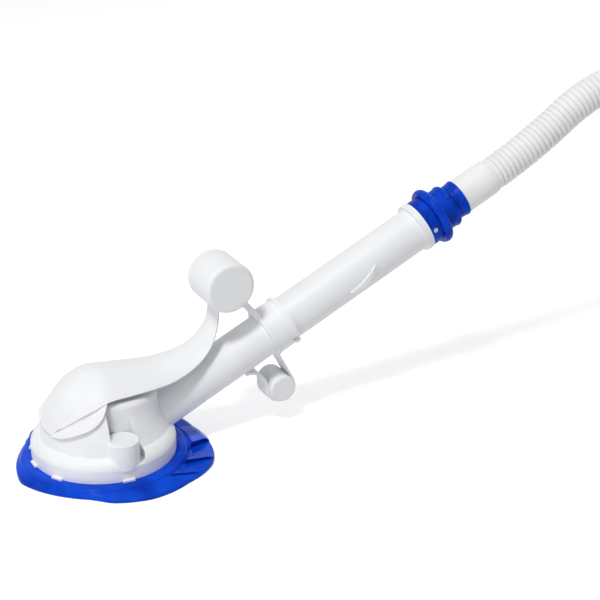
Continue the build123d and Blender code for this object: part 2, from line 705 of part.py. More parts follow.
def make_hose():
    """Ribbed hose: a ruled loft through the ribs' circles, with a smooth bore."""
    path = hose_path()
    length = path.length
    count = int((length - 4 * HOSE_CREST_R) // RIB_PITCH)
    lead = (length - count * RIB_PITCH) / 2
    stops = [(0.0, HOSE_ROOT_R)]
    for k in range(count):
        at = lead + k * RIB_PITCH
        stops.append((at, HOSE_ROOT_R))
        stops.append((at + RIB_FLANK, HOSE_CREST_R))
        stops.append((at + RIB_FLANK + RIB_CREST, HOSE_CREST_R))
        stops.append((at + 2 * RIB_FLANK + RIB_CREST, HOSE_ROOT_R))
    stops.append((length, HOSE_ROOT_R))

    def across(at):
        place = path.position_at(at / length)
        return Plane(origin=place, x_dir=(0, 1, 0), z_dir=path.tangent_at(at / length))

    hose = loft([across(at) * Circle(r) for at, r in stops], ruled=True)
    hose -= sweep(across(0.0) * Circle(HOSE_BORE_R), path=path)
    print("hose length", round(length, 1), "ribs", count)
    return hose


def dome_solid(inset):
    """Dome of revolution over the front of the drum, drawn in by an inset."""
    rise = [(r - inset if r else 0.0, z - (inset if k else 0.0)) for k, (r, z) in enumerate(DOME_PROFILE)]
    crown = Spline(*[(r, 0, z) for r, z in rise], tangents=[(-0.05, 0, 1), (-1, 0, 0)])
    foot = Polyline((0, 0, rise[-1][1]), (0, 0, rise[0][1]), (rise[0][0], 0, rise[0][1]))
    return revolve(make_face(crown + foot), Axis.Z)


def arm_section(x, z, half, drop, slope):
    """Arched strip of the arm, square to its slope."""
    along = (cos(radians(slope)), 0, sin(radians(slope)))
    plane = Plane(origin=(x, 0, z), x_dir=(0, 1, 0), z_dir=along)
    edge = -drop - COVER_T
    outline = ThreePointArc((-half, -drop), (0, 0), (half, -drop))
    outline += Line((half, -drop), (half, edge))
    outline += ThreePointArc((half, edge), (0, -COVER_T), (-half, edge))
    outline += Line((-half, edge), (-half, -drop))
    return plane * make_face(outline)


def above_lip():
    """Space in front of the arm and above the lower edge of the dome."""
    tip, rear = LIP_CURVE[0], LIP_CURVE[-1]
    above = DOME_PROFILE[-1][1]
    corners = (rear, (rear[0], above), (-DRUM_R, above), (-DRUM_R, tip[1]), tip)
    side = Polyline(*[(x, 0, z) for x, z in corners]) + Spline(*[(x, 0, z) for x, z in LIP_CURVE])
    return extrude(make_face(side), amount=DRUM_R, dir=(0, 1, 0), both=True)


def gill_section(crease, lip):
    """Strip of the gill from its crease out to the lip, as thick as the gill."""
    reach = (lip[0] ** 2 + lip[1] ** 2) ** 0.5
    inward = (-lip[0] * GILL_T / reach, -lip[1] * GILL_T / reach)
    back = [(x + inward[0], y + inward[1], z) for x, y, z in (lip, crease)]
    return make_face(Polyline(crease, lip, *back, close=True))


def make_head_cover():
    """One sheet: a dome over the front, lipped gills at its sides and an arm up to the float."""
    dome = (dome_solid(0) - dome_solid(COVER_T)) & above_lip()
    arm = loft([arm_section(*station) for station in ARM_STATIONS])
    arm -= cross_rod(FLOAT_R + SEATED, FLOAT_HALF + LOOSE, FLOAT_X, FLOAT_Z)
    gill = loft([gill_section(crease, lip) for crease, lip in GILL_STATIONS])
    return HEAD * (dome + arm + both_sides(gill))


def make_float_shell():
    """Hollow float, open at its near end for the cap."""
    shell = cross_rod(FLOAT_R, FLOAT_HALF, FLOAT_X, FLOAT_Z)
    shell = fillet(shell.edges().filter_by(GeomType.CIRCLE), FLOAT_EDGE)
    shell -= cross_rod(FLOAT_R - FLOAT_WALL - FLOAT_EDGE / 2, FLOAT_HALF - FLOAT_WALL, FLOAT_X, FLOAT_Z)
    return HEAD * (shell - float_cap_plug(SEATED))


def float_cap_plug(grow):
    """The space that the cap fills in the float's near end."""
    plug_r = FLOAT_R - FLOAT_EDGE + grow
    turn = Pos(FLOAT_X, -FLOAT_HALF, FLOAT_Z) * Rot(-90, 0, 0)
    return turn * Cylinder(plug_r, FLOAT_CAP_T, align=BASE)


def make_float_cap():
    """Flat cap in the float's near end."""
    return HEAD * float_cap_plug(0)


def make_weight_shell():
    """Hollow weight, open at its near end for the cap."""
    shell = cross_rod(WEIGHT_R, WEIGHT_HALF, WEIGHT_X, WEIGHT_Z)
    shell = fillet(shell.edges().filter_by(GeomType.CIRCLE), WEIGHT_EDGE)
    shell -= cross_rod(WEIGHT_R - WEIGHT_WALL, WEIGHT_HALF - WEIGHT_CAP_T, WEIGHT_X, WEIGHT_Z)
    return HEAD * (shell - weight_cap_plug(SEATED))


def weight_cap_plug(grow):
    """The space that the cap fills in the weight's near end."""
    turn = Pos(WEIGHT_X, -WEIGHT_HALF, WEIGHT_Z) * Rot(-90, 0, 0)
    return turn * Cylinder(WEIGHT_R - WEIGHT_EDGE + grow, WEIGHT_CAP_T, align=BASE)


def make_weight_cap():
    """Flat cap in the weight's near end."""
    return HEAD * weight_cap_plug(0)


def make_weight_slug():
    """Ballast bar inside the weight."""
    half = WEIGHT_HALF - WEIGHT_CAP_T - LOOSE
    return HEAD * cross_rod(WEIGHT_R - WEIGHT_WALL - SEATED, half, WEIGHT_X, WEIGHT_Z)


def blade(path, thickness=YOKE_BLADE_T):
    """Flat strip of the yoke, carried along a line or arc in the plane Y = 0."""
    start = Plane(origin=path @ 0, x_dir=(0, 1, 0), z_dir=path % 0)
    return sweep(start * Rectangle(2 * YOKE_HALF_W, thickness), path=path)


def make_weight_yoke():
    """Band round the neck with a blade up to the float and two legs down to the weight's cradle."""
    axis = Vector(cos(SLOPE), 0, sin(SLOPE))
    down = Vector(sin(SLOPE), 0, -cos(SLOPE))
    collar = Vector(COLLAR_X, 0, COLLAR_Z)
    weight = Vector(WEIGHT_X, 0, WEIGHT_Z)
    band_r = NECK_R + SEATED + YOKE_T / 2
    cradle_r = WEIGHT_R + SEATED + YOKE_BLADE_T / 2

    def round_weight(angle):
        return weight + Vector(cos(radians(angle)), 0, sin(radians(angle))) * cradle_r

    band = collar + axis * YOKE_AT
    front = collar + axis * YOKE_LEG_AT + down * NECK_R
    front_end = round_weight(CRADLE_FRONT)
    span = front_end - front
    bulge = Vector(-span.Z, 0, span.X).normalized() * YOKE_LEG_BULGE
    middle = (front + front_end) * 0.5 + bulge
    bottom = round_weight((CRADLE_FRONT + CRADLE_REAR + 360.0) / 2)
    yoke = blade(Line(band - down * band_r, Vector(FLOAT_X, 0, FLOAT_Z)), YOKE_LINK_T)
    yoke += blade(ThreePointArc(front, middle, front_end))
    yoke += blade(ThreePointArc(front_end, bottom, round_weight(CRADLE_REAR)))
    yoke += blade(Line(round_weight(CRADLE_REAR), band + down * band_r))
    yoke -= cross_rod(FLOAT_R + SEATED, FLOAT_HALF, FLOAT_X, FLOAT_Z)
    yoke -= cross_rod(WEIGHT_R + SEATED, WEIGHT_HALF, WEIGHT_X, WEIGHT_Z)
    low, high = YOKE_AT - YOKE_W / 2, YOKE_AT + YOKE_W / 2
    yoke = HEAD * yoke + TUBE * post(NECK_R + SEATED + YOKE_T, low, high)
    yoke -= TUBE * post(COLLAR_R + SEATED, -COLLAR_DEPTH, 0)
    return yoke - TUBE * post(NECK_R + SEATED, NECK_START, 0)


NODES = {
    "skirt_disc": make_skirt_disc,
    "base_drum": make_base_drum,
    "foot_pad": make_foot_pad,
    "valve_housing": make_valve_housing,
    "throat_plate": make_throat_plate,
    "deck_screws": make_deck_screws,
    "flapper": make_flapper,
    "flapper_shaft": make_flapper_shaft,
    "shaft_bushes": make_shaft_bushes,
    "front_seat": lambda: make_seat(-1),
    "rear_seat": lambda: make_seat(1),
    "upper_tube": make_upper_tube,
    "collar_seal": make_collar_seal,
    "inner_tube": make_inner_tube,
    "swivel_base": make_swivel_base,
    "swivel_pins": make_swivel_pins,
    "swivel_sleeve": make_swivel_sleeve,
    "swivel_seal": make_swivel_seal,
    "hose_cuff": make_hose_cuff,
    "hose": make_hose,
    "far_cuff": make_far_cuff,
    "head_cover": make_head_cover,
    "float_shell": make_float_shell,
    "float_cap": make_float_cap,
    "weight_yoke": make_weight_yoke,
    "weight_shell": make_weight_shell,
    "weight_cap": make_weight_cap,
    "weight_slug": make_weight_slug,
}


def main():
    """Build every node and write its STEP file."""
    os.makedirs("parts", exist_ok=True)
    for name, make in NODES.items():
        export_step(make(), f"parts/{name}.step")


main()
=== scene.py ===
"""Dressed scene of a suction pool cleaner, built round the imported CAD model.

The rigid mouldings stay as the CAD model gives them and take procedural finishes. The soft skirt, the
one-sheet cover and the ribbed hose are replaced by surfaces worked out with numpy. Sizes are in metres in the
CAD model's frame, unless a docstring says millimetres: the pool floor is Z = 0, the head points to -X and the
plane Y = 0 is the plane of symmetry.
"""

import logging
import math
from dataclasses import dataclass
from enum import Enum
from functools import partial
from typing import Sequence

import bpy
import numpy as np
from mathutils import Matrix, Vector

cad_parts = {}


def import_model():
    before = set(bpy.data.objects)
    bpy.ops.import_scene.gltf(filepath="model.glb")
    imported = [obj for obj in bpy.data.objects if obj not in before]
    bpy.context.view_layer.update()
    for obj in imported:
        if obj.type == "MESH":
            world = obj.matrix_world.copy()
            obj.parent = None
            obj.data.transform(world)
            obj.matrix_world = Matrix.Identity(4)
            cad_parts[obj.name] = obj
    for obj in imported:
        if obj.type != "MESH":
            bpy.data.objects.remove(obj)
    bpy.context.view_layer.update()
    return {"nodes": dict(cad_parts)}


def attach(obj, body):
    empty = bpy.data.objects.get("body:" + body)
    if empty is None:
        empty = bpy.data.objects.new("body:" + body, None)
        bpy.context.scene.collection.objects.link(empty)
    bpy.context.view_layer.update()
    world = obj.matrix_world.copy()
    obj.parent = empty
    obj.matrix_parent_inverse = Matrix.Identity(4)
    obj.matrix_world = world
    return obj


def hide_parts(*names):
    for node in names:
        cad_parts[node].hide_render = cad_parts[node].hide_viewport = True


LOG = logging.getLogger("pool_cleaner")
MM = 0.001
HEAD_X = -0.1891325
TUBE_SLOPE = math.radians(25.5)
COLLAR_END = (HEAD_X + 0.234, 0.12635)
MOTTLE_OCTAVES = 4.0
GRAIN_OCTAVES = 2.0
GRAIN_STRENGTH = 0.6
NOISE_LOW, NOISE_HIGH = 0.3, 0.7  # the part of a noise field that colours and roughness are spread over


class Body(Enum):
    """Moving groups of the CAD model."""

    CLEANER = "cleaner"
    SWIVEL = "swivel"


class Slot(Enum):
    """Material slots of the record; the new pieces here take their finishes directly, not from these."""

    WHITE = "white_plastic"
    VINYL = "blue_vinyl"
    HOSE = "hose_plastic"


def smoothstep(low: float, high: float, value: np.ndarray) -> np.ndarray:
    """Cubic ease from 0 at low to 1 at high.

    Args:
        low: Value where the ease starts.
        high: Value where the ease ends.
        value: Values to ease.

    Returns:
        The eased values, 3t^2 - 2t^3 with t clamped to 0..1.
    """
    share = np.clip((value - low) / (high - low), 0.0, 1.0)
    return share * share * (3.0 - 2.0 * share)


def cubic_through(knots: Sequence[float], values: np.ndarray, at: np.ndarray) -> np.ndarray:
    """Smooth curve through given values: a cubic Hermite with finite-difference slopes.

    Args:
        knots: Rising parameter of each value.
        values: One row of numbers for each knot.
        at: Parameters to evaluate.

    Returns:
        One row for each parameter.
    """
    knots = np.asarray(knots, float)
    values = np.asarray(values, float).reshape(len(knots), -1)
    slopes = np.gradient(values, knots, axis=0)
    place = np.clip(np.searchsorted(knots, at, side="right") - 1, 0, len(knots) - 2)
    span = (knots[place + 1] - knots[place])[:, None]
    t = ((at - knots[place])[:, None]) / span
    start, end = values[place], values[place + 1]
    return (
        (2 * t**3 - 3 * t**2 + 1) * start
        + (t**3 - 2 * t**2 + t) * span * slopes[place]
        + (3 * t**2 - 2 * t**3) * end
        + (t**3 - t**2) * span * slopes[place + 1]
    )


def tube_point(along: float) -> tuple[float, float, float]:
    """Point on the tube's axis at a length from the collar's end.

    Args:
        along: Length from the collar's end, up the tube.

    Returns:
        The point as (x, y, z).
    """
    return (
        COLLAR_END[0] + along * math.cos(TUBE_SLOPE),
        0.0,
        COLLAR_END[1] + along * math.sin(TUBE_SLOPE),
    )


def grid_faces(rows: int, columns: int, wrap_rows: bool, wrap_columns: bool) -> np.ndarray:
    """Quads of a grid of points stored row by row.

    Args:
        rows: Number of rows.
        columns: Number of columns.
        wrap_rows: Whether the last row joins the first.
        wrap_columns: Whether the last column joins the first.

    Returns:
        Array of four point numbers for each quad.
    """
    r = np.arange(rows if wrap_rows else rows - 1)
    c = np.arange(columns if wrap_columns else columns - 1)
    row, column = np.meshgrid(r, c, indexing="ij")
    down, over = (row + 1) % rows, (column + 1) % columns
    corners = ((row, column), (row, over), (down, over), (down, column))
    return np.stack([line * columns + place for line, place in corners], axis=-1).reshape(-1, 4)


def mesh_object(name: str, points: np.ndarray, faces: np.ndarray) -> bpy.types.Object:
    """Object at the origin from arrays of points and quads, shaded smooth.

    Args:
        name: Name of the piece.
        points: Array of (x, y, z) rows.
        faces: Array of four point numbers for each quad.

    Returns:
        The linked object.
    """
    mesh = bpy.data.meshes.new(name)
    mesh.from_pydata(points.reshape(-1, 3).tolist(), [], faces.tolist())
    mesh.polygons.foreach_set("use_smooth", np.ones(len(mesh.polygons), bool))
    mesh.update()
    made = bpy.data.objects.new(name, mesh)
    bpy.context.scene.collection.objects.link(made)
    return made


def sheet_shell(outer: np.ndarray, inner: np.ndarray) -> tuple[np.ndarray, np.ndarray]:
    """Closed shell of a sheet from its two faces, with strips round its border.

    Args:
        outer: Array of rows by columns by (x, y, z).
        inner: Points behind them.

    Returns:
        Points, and quads that face outward.
    """
    rows, columns = outer.shape[:2]
    points = np.concatenate([outer, inner[:, ::-1]], axis=1).reshape(-1, 3)
    c = np.arange(columns - 1)
    mate = 2 * columns - 1 - c
    first = np.stack([c + 1, c, mate, mate - 1], axis=1)
    last = np.stack([c, c + 1, mate - 1, mate], axis=1) + (rows - 1) * 2 * columns
    faces = np.concatenate([grid_faces(rows, 2 * columns, False, True), first, last])
    a, b, d, e = (points[faces[:, k]] for k in range(4))
    volume = np.sum(a * np.cross(b, d)) + np.sum(a * np.cross(d, e))
    return points, faces if volume > 0 else faces[:, ::-1]


def join_shells(shells: Sequence[tuple[np.ndarray, np.ndarray]]) -> tuple[np.ndarray, np.ndarray]:
    """One set of points and quads from several shells.

    Args:
        shells: Points and quads of each shell.

    Returns:
        All points, and all quads with their numbers moved on.
    """
    starts = np.cumsum([0] + [len(points) for points, _ in shells[:-1]])
    points = np.concatenate([points for points, _ in shells])
    return points, np.concatenate([faces + start for (_, faces), start in zip(shells, starts)])


@dataclass(frozen=True)
class Finish:
    """Procedural finish: two near colours, a broad mottle, a fine grain and a roughness range.

    Attributes:
        name: Name of the material.
        dark: Colour in the low places of the mottle.
        light: Colour in the high places of the mottle.
        rough: Lowest and highest roughness.
        mottle: Waves of the mottle in a metre.
        grain: Waves of the fine grain in a metre.
        bump: Height of the grain in metres.
        metallic: 1 for bare metal.
        specular: Strength of the plain reflection.
        streak: How much the mottle is drawn out along Z.
    """

    name: str
    dark: tuple[float, float, float]
    light: tuple[float, float, float]
    rough: tuple[float, float]
    mottle: float = 18.0
    grain: float = 900.0
    bump: float = 0.00004
    metallic: float = 0.0
    specular: float = 0.5
    streak: float = 1.0

    def material(self) -> bpy.types.Material:
        """Node material of this finish.

        Returns:
            A material whose colour, roughness and bump come from two noise fields.
        """
        made = bpy.data.materials.new(self.name)
        made.use_nodes = True
        nodes, links = made.node_tree.nodes, made.node_tree.links
        shader = nodes["Principled BSDF"]
        place = nodes.new("ShaderNodeTexCoord")
        mapping = nodes.new("ShaderNodeMapping")
        mapping.inputs["Scale"].default_value = (1.0, 1.0, 1.0 / self.streak)
        links.new(place.outputs["Object"], mapping.inputs["Vector"])
        broad = self._noise(nodes, links, mapping, self.mottle, MOTTLE_OCTAVES)
        fine = self._noise(nodes, links, mapping, self.grain, GRAIN_OCTAVES)
        ramp = nodes.new("ShaderNodeValToRGB")
        ramp.color_ramp.elements[0].position = NOISE_LOW
        ramp.color_ramp.elements[0].color = (*self.dark, 1.0)
        ramp.color_ramp.elements[1].position = NOISE_HIGH
        ramp.color_ramp.elements[1].color = (*self.light, 1.0)
        links.new(broad.outputs["Fac"], ramp.inputs["Fac"])
        links.new(ramp.outputs["Color"], shader.inputs["Base Color"])
        spread = nodes.new("ShaderNodeMapRange")
        spread.inputs["From Min"].default_value = NOISE_LOW
        spread.inputs["From Max"].default_value = NOISE_HIGH
        spread.inputs["To Min"].default_value = self.rough[0]
        spread.inputs["To Max"].default_value = self.rough[1]
        links.new(broad.outputs["Fac"], spread.inputs["Value"])
        links.new(spread.outputs["Result"], shader.inputs["Roughness"])
        bump = nodes.new("ShaderNodeBump")
        bump.inputs["Strength"].default_value = GRAIN_STRENGTH
        bump.inputs["Distance"].default_value = self.bump
        links.new(fine.outputs["Fac"], bump.inputs["Height"])
        links.new(bump.outputs["Normal"], shader.inputs["Normal"])
        shader.inputs["Metallic"].default_value = self.metallic
        shader.inputs["Specular IOR Level"].default_value = self.specular
        return made

    @staticmethod
    def _noise(
        nodes: bpy.types.Nodes,
        links: bpy.types.NodeLinks,
        mapping: bpy.types.Node,
        scale: float,
        detail: float,
    ) -> bpy.types.Node:
        """Noise field at a scale, read through the mapping.

        Args:
            nodes: Nodes of the material.
            links: Links of the material.
            mapping: Mapping node that gives the place.
            scale: Waves in a metre.
            detail: Octaves of the noise.

        Returns:
            The noise node.
        """
        noise = nodes.new("ShaderNodeTexNoise")
        noise.inputs["Scale"].default_value = scale
        noise.inputs["Detail"].default_value = detail
        links.new(mapping.outputs["Vector"], noise.inputs["Vector"])
        return noise


WHITE_PLASTIC = Finish(
    "white moulded plastic",
    dark=(0.87, 0.88, 0.9),
    light=(0.92, 0.93, 0.95),
    rough=(0.36, 0.48),
    specular=0.2,
)
TUBE_PLASTIC = Finish(
    "white drawn tube",
    dark=(0.84, 0.85, 0.875),
    light=(0.89, 0.90, 0.92),
    rough=(0.34, 0.46),
    mottle=11.0,
    streak=4.0,
)
HOSE_PLASTIC = Finish(
    "white hose plastic",
    dark=(0.87, 0.875, 0.89),
    light=(0.92, 0.925, 0.935),
    rough=(0.38, 0.52),
    mottle=40.0,
    bump=0.00006,
)
# Painted shade: a darker copy of the hose plastic for the quads between the ribs, standing for the shade in
# the grooves.
HOSE_PAINTED_GROOVE_SHADE = Finish(
    "painted shade between hose ribs",
    dark=(0.7, 0.705, 0.72),
    light=(0.75, 0.755, 0.77),
    rough=(0.5, 0.6),
    mottle=40.0,
)
BLUE_VINYL = Finish(
    "blue vinyl",
    dark=(0.001, 0.040, 0.46),
    light=(0.004, 0.088, 0.80),
    rough=(0.1, 0.2),
    mottle=26.0,
    specular=0.06,
)
BLUE_PLASTIC = Finish(
    "blue moulded plastic",
    dark=(0.0006, 0.022, 0.30),
    light=(0.002, 0.072, 0.72),
    rough=(0.22, 0.36),
    mottle=48.0,
    specular=0.06,
)
GREY_RUBBER = Finish(
    "grey rubber",
    dark=(0.04, 0.042, 0.045),
    light=(0.07, 0.072, 0.076),
    rough=(0.6, 0.8),
    bump=0.00012,
)
BEARING_PLASTIC = Finish(
    "bearing plastic",
    dark=(0.5, 0.5, 0.48),
    light=(0.6, 0.6, 0.58),
    rough=(0.4, 0.55),
)
STEEL = Finish(
    "plain steel",
    dark=(0.27, 0.28, 0.29),
    light=(0.44, 0.45, 0.46),
    rough=(0.2, 0.36),
    grain=1500.0,
    metallic=1.0,
)
CAST_BAR = Finish(
    "cast bar",
    dark=(0.03, 0.03, 0.032),
    light=(0.06, 0.06, 0.064),
    rough=(0.55, 0.75),
    bump=0.0003,
    metallic=1.0,
)

NODE_FINISHES: dict[Finish, tuple[str, ...]] = {
    WHITE_PLASTIC: (
        "base_drum",
        "valve_housing",
        "throat_plate",
        "float_shell",
        "float_cap",
        "weight_yoke",
        "weight_shell",
        "weight_cap",
    ),
    TUBE_PLASTIC: ("upper_tube", "inner_tube"),
    HOSE_PLASTIC: ("hose_cuff", "far_cuff"),
    BLUE_PLASTIC: ("swivel_base", "swivel_sleeve"),
    GREY_RUBBER: ("foot_pad", "flapper", "front_seat", "rear_seat", "collar_seal", "swivel_seal"),
    BEARING_PLASTIC: ("shaft_bushes",),
    STEEL: ("deck_screws", "flapper_shaft", "swivel_pins"),
    CAST_BAR: ("weight_slug",),
}


class Wardrobe:
    """Makes each finish once and puts it on CAD nodes and new pieces."""

    def __init__(self) -> None:
        """Start with no materials made."""
        self._made: dict[Finish, bpy.types.Material] = {}

    def material(self, finish: Finish) -> bpy.types.Material:
        """The finish's material, made on first use.

        Args:
            finish: Finish to look up.

        Returns:
            Its node material.
        """
        if finish not in self._made:
            self._made[finish] = finish.material()
        return self._made[finish]

    def dress(self, piece: bpy.types.Object, finish: Finish) -> None:
        """Put one finish all over a piece.

        Args:
            piece: Piece to dress.
            finish: Finish to put on it.
        """
        piece.data.materials.clear()
        piece.data.materials.append(self.material(finish))

    def dress_nodes(self, nodes: dict[str, bpy.types.Object]) -> None:
        """Put the finishes of NODE_FINISHES on the CAD nodes.

        Args:
            nodes: CAD nodes by name.
        """
        for finish, names in NODE_FINISHES.items():
            for name in names:
                self.dress(nodes[name], finish)
                LOG.info("%s: %s", name, finish.name)


@dataclass
class Hose:
    """Ribbed hose along a NURBS route, with a smooth bore.

    Attributes:
        route: Control points from the near cuff to the far one.
        root: Radius between the ribs.
        crest: Radius on the ribs.
        bore: Radius of the bore.
        pitch: Length of one rib and one valley.
        rib_share: Share of the pitch that the rib's crown takes, between the middles of its flanks.
        flank: Half the share of the pitch that each flank takes.
        plain: Smooth length at each end.
        marks: Places of the rings of points in each pitch, from one valley to the next.
        around: Points in each ring.
        order: Order of the NURBS curve.
        resolution: Points of the curve for each control point.
    """

    route: tuple[tuple[float, float, float], ...] = (
        tube_point(0.3126),
        tube_point(0.3726),
        (0.472, 0.0, 0.3525),
        (0.580, 0.0, 0.369),
        (0.684, 0.0, 0.335),
        (0.770, 0.0, 0.264),
        (0.824, 0.0, 0.168),
        (0.898, 0.0, 0.084),
        (0.990, 0.0, 0.037),
        (1.069, 0.0, 0.0224),
        (1.131, 0.0, 0.0224),
    )
    root: float = 0.0188
    crest: float = 0.0211
    bore: float = 0.0165
    pitch: float = 0.0068
    rib_share: float = 0.6
    flank: float = 0.08
    plain: float = 0.006
    marks: tuple[float, ...] = (0.0, 0.12, 0.2, 0.28, 0.4, 0.6, 0.72, 0.8, 0.88)
    around: int = 40
    order: int = 3
    resolution: int = 64

    def centreline(self) -> np.ndarray:
        """Points of the route's NURBS curve.

        Returns:
            Array of (x, y, z) rows, read from a curve object with no bevel.
        """
        curve = bpy.data.curves.new("hose route", "CURVE")
        curve.dimensions = "3D"
        curve.resolution_u = self.resolution
        spline = curve.splines.new("NURBS")
        spline.points.add(len(self.route) - 1)
        for point, place in zip(spline.points, self.route):
            point.co = (*place, 1.0)
        spline.order_u = self.order
        spline.use_endpoint_u = True
        spline.resolution_u = self.resolution
        holder = bpy.data.objects.new("hose route", curve)
        bpy.context.scene.collection.objects.link(holder)
        bpy.context.view_layer.update()
        line = bpy.data.meshes.new_from_object(holder)
        points = np.zeros(len(line.vertices) * 3)
        line.vertices.foreach_get("co", points)
        bpy.data.objects.remove(holder)
        bpy.data.curves.remove(curve)
        bpy.data.meshes.remove(line)
        return points.reshape(-1, 3)

    def radius(self, along: np.ndarray, length: float) -> np.ndarray:
        """Outer radius along the hose: rounded crowns on a plain root, with smooth ends.

        Args:
            along: Lengths from the near end.
            length: Whole length.

        Returns:
            Root radius plus the rib's height, eased up and down over each pitch.
        """
        phase = np.abs((along / self.pitch) % 1.0 - 0.5)
        half = self.rib_share / 2
        crown = 1.0 - smoothstep(half - self.flank, half + self.flank, phase)
        ends = smoothstep(0.0, self.plain, along) * smoothstep(0.0, self.plain, length - along)
        return self.root + (self.crest - self.root) * crown * ends

    def stations(self, length: float) -> np.ndarray:
        """Where the rings of points lie: at the marks of each whole pitch, and at the far end.

        Args:
            length: Whole length.

        Returns:
            Rising lengths from the near end.
        """
        pitches = np.arange(int(length / self.pitch))
        return np.append((pitches[:, None] + np.array(self.marks)).ravel() * self.pitch, length)

    def paint_groove_shade(self, hose: bpy.types.Object, rings: int, wardrobe: Wardrobe) -> None:
        """Put painted shade on the quads between the ribs: a darker copy of the hose plastic that stands for
        the shade in the grooves.

        Args:
            hose: The hose piece, with its quads stored ring by ring and the outside first.
            rings: Rings of points on the outside.
            wardrobe: Source of the finish.
        """
        hose.data.materials.append(wardrobe.material(HOSE_PAINTED_GROOVE_SHADE))
        row = np.arange(len(hose.data.polygons)) // self.around
        # Quads between the ribs that get the painted shade.
        valley = np.isin(row % len(self.marks), (0, len(self.marks) - 1)) & (row < rings - 1)
        hose.data.polygons.foreach_set("material_index", valley.astype(np.int32))

    def build(self, wardrobe: Wardrobe, nodes: dict[str, bpy.types.Object]) -> bpy.types.Object:
        """Mesh tube with ribs that stands for the CAD hose.

        Args:
            wardrobe: Source of the finishes.
            nodes: CAD nodes by name; not used.

        Returns:
            The hose piece.
        """
        line = self.centreline()
        steps = np.linalg.norm(np.diff(line, axis=0), axis=1)
        reach = np.concatenate([[0.0], np.cumsum(steps)])
        length = float(reach[-1])
        along = self.stations(length)
        centre = np.stack([np.interp(along, reach, line[:, k]) for k in range(3)], axis=1)
        tangent = np.gradient(centre, along, axis=0)
        tangent /= np.linalg.norm(tangent, axis=1, keepdims=True)
        across = np.array([0.0, 1.0, 0.0])
        upward = np.cross(tangent, across)
        turn = np.linspace(0.0, 2 * math.pi, self.around, endpoint=False)
        ring = across * np.cos(turn)[None, :, None] + upward[:, None, :] * np.sin(turn)[None, :, None]
        outer = centre[:, None, :] + ring * self.radius(along, length)[:, None, None]
        inner = (centre[:, None, :] + ring * self.bore)[:: len(self.marks)][::-1]
        points = np.concatenate([outer, inner])
        faces = grid_faces(len(points), self.around, True, True)
        hose = mesh_object("hose_ribbed", points, faces)
        wardrobe.dress(hose, HOSE_PLASTIC)
        # Painted shade in the grooves between the ribs.
        self.paint_groove_shade(hose, len(along), wardrobe)
        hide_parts("hose")
        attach(hose, Body.SWIVEL.value)
        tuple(self.route[0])
        LOG.info("hose: %.3f m, %d rings", length, len(along))
        return hose


